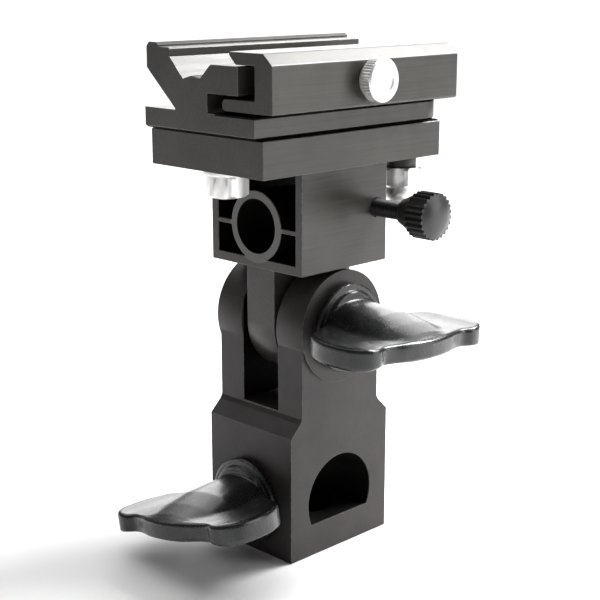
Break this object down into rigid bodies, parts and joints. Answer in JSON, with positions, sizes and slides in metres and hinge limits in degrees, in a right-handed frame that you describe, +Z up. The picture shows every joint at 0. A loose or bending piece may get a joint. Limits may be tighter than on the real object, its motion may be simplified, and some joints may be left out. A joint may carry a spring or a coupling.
{
  "type": "umbrella swivel bracket",
  "caption": "Tilting stand bracket with a clamp-jaw accessory shoe, an umbrella tube with its lock knob and two wing handles.",
  "frame": {"origin": "centre of the stand socket's mouth, on the clamp block's bottom face", "axes": "+Z up the bracket at rest; X along the shoe rail and the umbrella tube; Y along the tilt bolt, with the tilt handle, thumbscrew and lock knob on the -Y side and the clamp handle on the -X side"},
  "size_m": [0.067, 0.0575, 0.108],
  "materials": {
    "block_black": "satin black powder coat on die-cast aluminium",
    "anodised_black": "satin black anodised aluminium with a faint brushed grain along the rail",
    "handle_black": "glossy moulded black nylon",
    "knob_black": "knurled black plastic",
    "bright_nickel": "bright nickel plate on turned steel",
    "plain_steel": "zinc-plated steel",
    "brass": "turned brass",
    "washer_black": "black nylon washer",
    "screw_black": "black oxide steel thread",
    "tip_nylon": "natural nylon tip"
  },
  "bodies": {
    "stand_clamp": {"clamp_body": "block_black", "pad_insert": "brass", "hinge_bolt": "plain_steel", "hinge_washers": "washer_black"},
    "clamp_tip": {"clamp_pad": "brass"},
    "clamp_wing": {"clamp_handle": "handle_black", "clamp_stud": "plain_steel"},
    "tilt_washer": {"handle_washer": "plain_steel"},
    "tilt_wing": {"tilt_handle": "handle_black", "tilt_insert": "brass"},
    "head": {"umbrella_block": "anodised_black", "shoe_base": "anodised_black", "shoe_studs": "plain_steel", "shoe_washer": "plain_steel", "shoe_hex_nut": "bright_nickel", "shoe_spacer": "screw_black", "shoe_cap_nut": "bright_nickel"},
    "jaw": {"shoe_jaw": "anodised_black", "jaw_washer": "washer_black", "jaw_spring": "plain_steel"},
    "thumbscrew": {"jaw_thumbscrew": "bright_nickel"},
    "lock_pad": {"lock_tip": "tip_nylon"},
    "lock": {"lock_knob": "knob_black", "lock_screw": "screw_black"}
  },
  "joints": [
    {"name": "head_tilt", "type": "hinge", "parent": "stand_clamp", "child": "head", "pos_m": [0, 0, 0.0494], "axis": [0, 1, 0], "range_deg": [-72, 90]},
    {"name": "clamp_feed", "type": "slide", "parent": "stand_clamp", "child": "clamp_tip", "axis": [-1, 0, 0], "range_m": [-0.0009, 0.003]},
    {"name": "clamp_turn", "type": "hinge", "parent": "clamp_tip", "child": "clamp_wing", "pos_m": [-0.0084, 0, 0.0112], "axis": [-1, 0, 0], "range_deg": [-324, 1080]},
    {"name": "tilt_nut_feed", "type": "slide", "parent": "stand_clamp", "child": "tilt_washer", "axis": [0, -1, 0], "range_m": [0, 0.001]},
    {"name": "tilt_turn", "type": "hinge", "parent": "tilt_washer", "child": "tilt_wing", "pos_m": [0, -0.0139, 0.0494], "axis": [0, -1, 0], "range_deg": [0, 360]},
    {"name": "jaw_slide", "type": "slide", "parent": "head", "child": "jaw", "axis": [0, -1, 0], "range_m": [-0.0031, 0.0025], "deforming": ["jaw_spring"]},
    {"name": "thumbscrew_turn", "type": "hinge", "parent": "jaw", "child": "thumbscrew", "pos_m": [0, -0.0209, 0.101], "axis": [0, -1, 0], "range_deg": [-2232, 1800]},
    {"name": "lock_feed", "type": "slide", "parent": "head", "child": "lock_pad", "axis": [0, -1, 0], "range_m": [-0.0049, 0.0014]},
    {"name": "lock_turn", "type": "hinge", "parent": "lock_pad", "child": "lock", "pos_m": [0.0096, -0.021, 0.0735], "axis": [0, -1, 0], "range_deg": [-2520, 720]}
  ],
  "couplings": [
    {"joint": "clamp_turn", "follows": "clamp_feed", "rad_per_m": 6283.2},
    {"joint": "tilt_turn", "follows": "tilt_nut_feed", "rad_per_m": 6283.2},
    {"joint": "thumbscrew_turn", "follows": "jaw_slide", "rad_per_m": 12566},
    {"joint": "lock_turn", "follows": "lock_feed", "rad_per_m": 8976}
  ]
}
